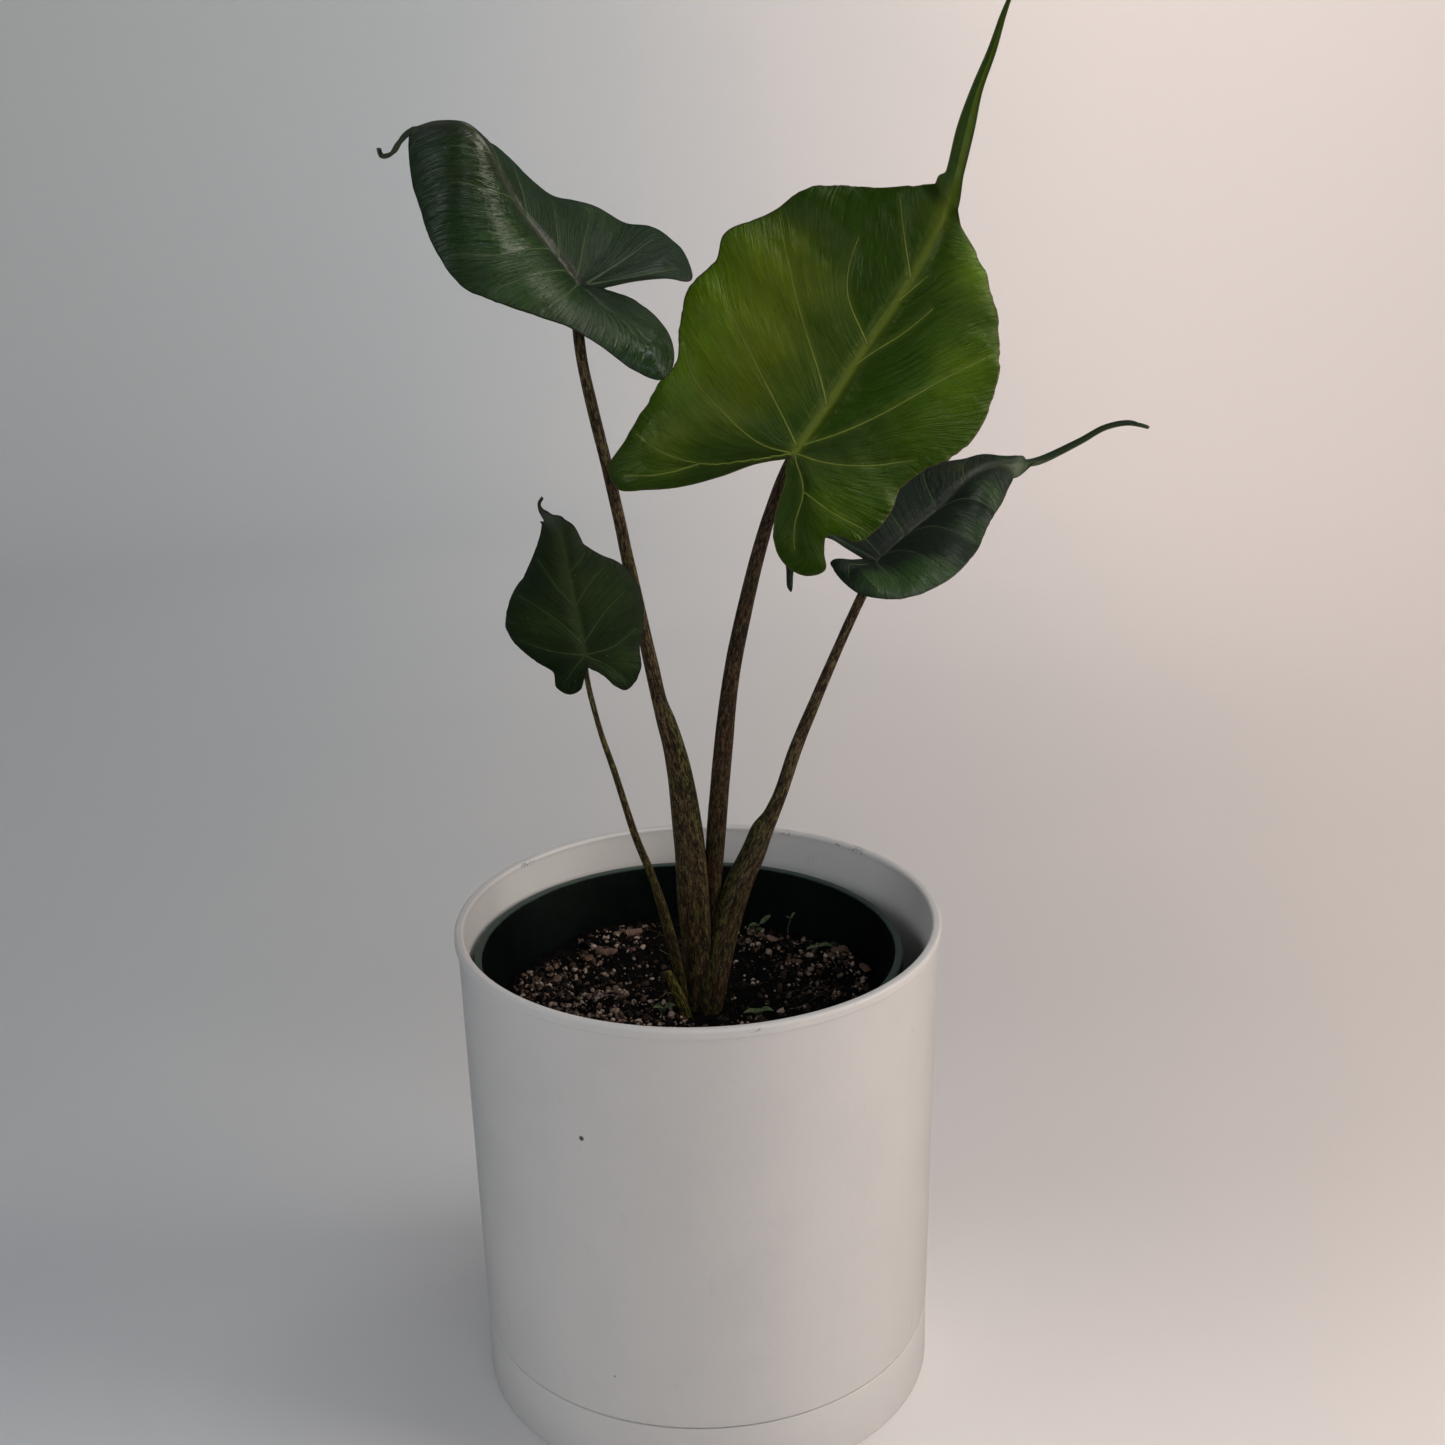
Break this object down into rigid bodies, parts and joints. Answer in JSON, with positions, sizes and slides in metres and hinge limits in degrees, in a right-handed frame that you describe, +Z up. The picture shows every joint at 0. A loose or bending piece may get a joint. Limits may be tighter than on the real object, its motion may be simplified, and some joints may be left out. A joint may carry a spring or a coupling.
{
  "type": "potted stingray alocasia",
  "caption": "Potted alocasia with arrow-shaped, long-tailed leaves on mottled stalks, in a grower's pot of peat inside a white cylindrical planter with a flush saucer.",
  "frame": {"origin": "centre of the saucer's flat underside, on the surface that the planter stands on", "axes": "+X to the viewer's right, +Y away from the viewer, +Z up along the planter's axis"},
  "size_m": [0.2816, 0.186, 0.5216],
  "materials": {
    "white_plastic": "warm white moulded plastic, satin",
    "green_plastic": "dark green thin moulded plastic, satin, paler at the rim",
    "peat": "near-black damp peat with tan bark granules",
    "corm": "brown fibrous corm skin",
    "stalk": "olive-tan leaf stalk with dark brown mottling, semi-gloss",
    "dark_leaf": "very dark green glossy leaf with pale veins",
    "bright_leaf": "yellow-green glossy young leaf with pale veins",
    "seedling": "pale green soft weed leaf"
  },
  "bodies": {
    "root": {"planter": "white_plastic", "saucer": "white_plastic", "nursery_pot": "green_plastic", "soil": "peat", "rootstock": "corm", "petiole_a": "stalk", "petiole_b": "stalk", "petiole_c": "stalk", "petiole_d": "stalk", "petiole_stub": "stalk", "leaf_a": "dark_leaf", "leaf_b": "bright_leaf", "leaf_c": "dark_leaf", "leaf_d": "dark_leaf", "seedling_1": "seedling", "seedling_2": "seedling", "seedling_3": "seedling", "seedling_4": "seedling", "seedling_5": "seedling"}
  },
  "joints": []
}
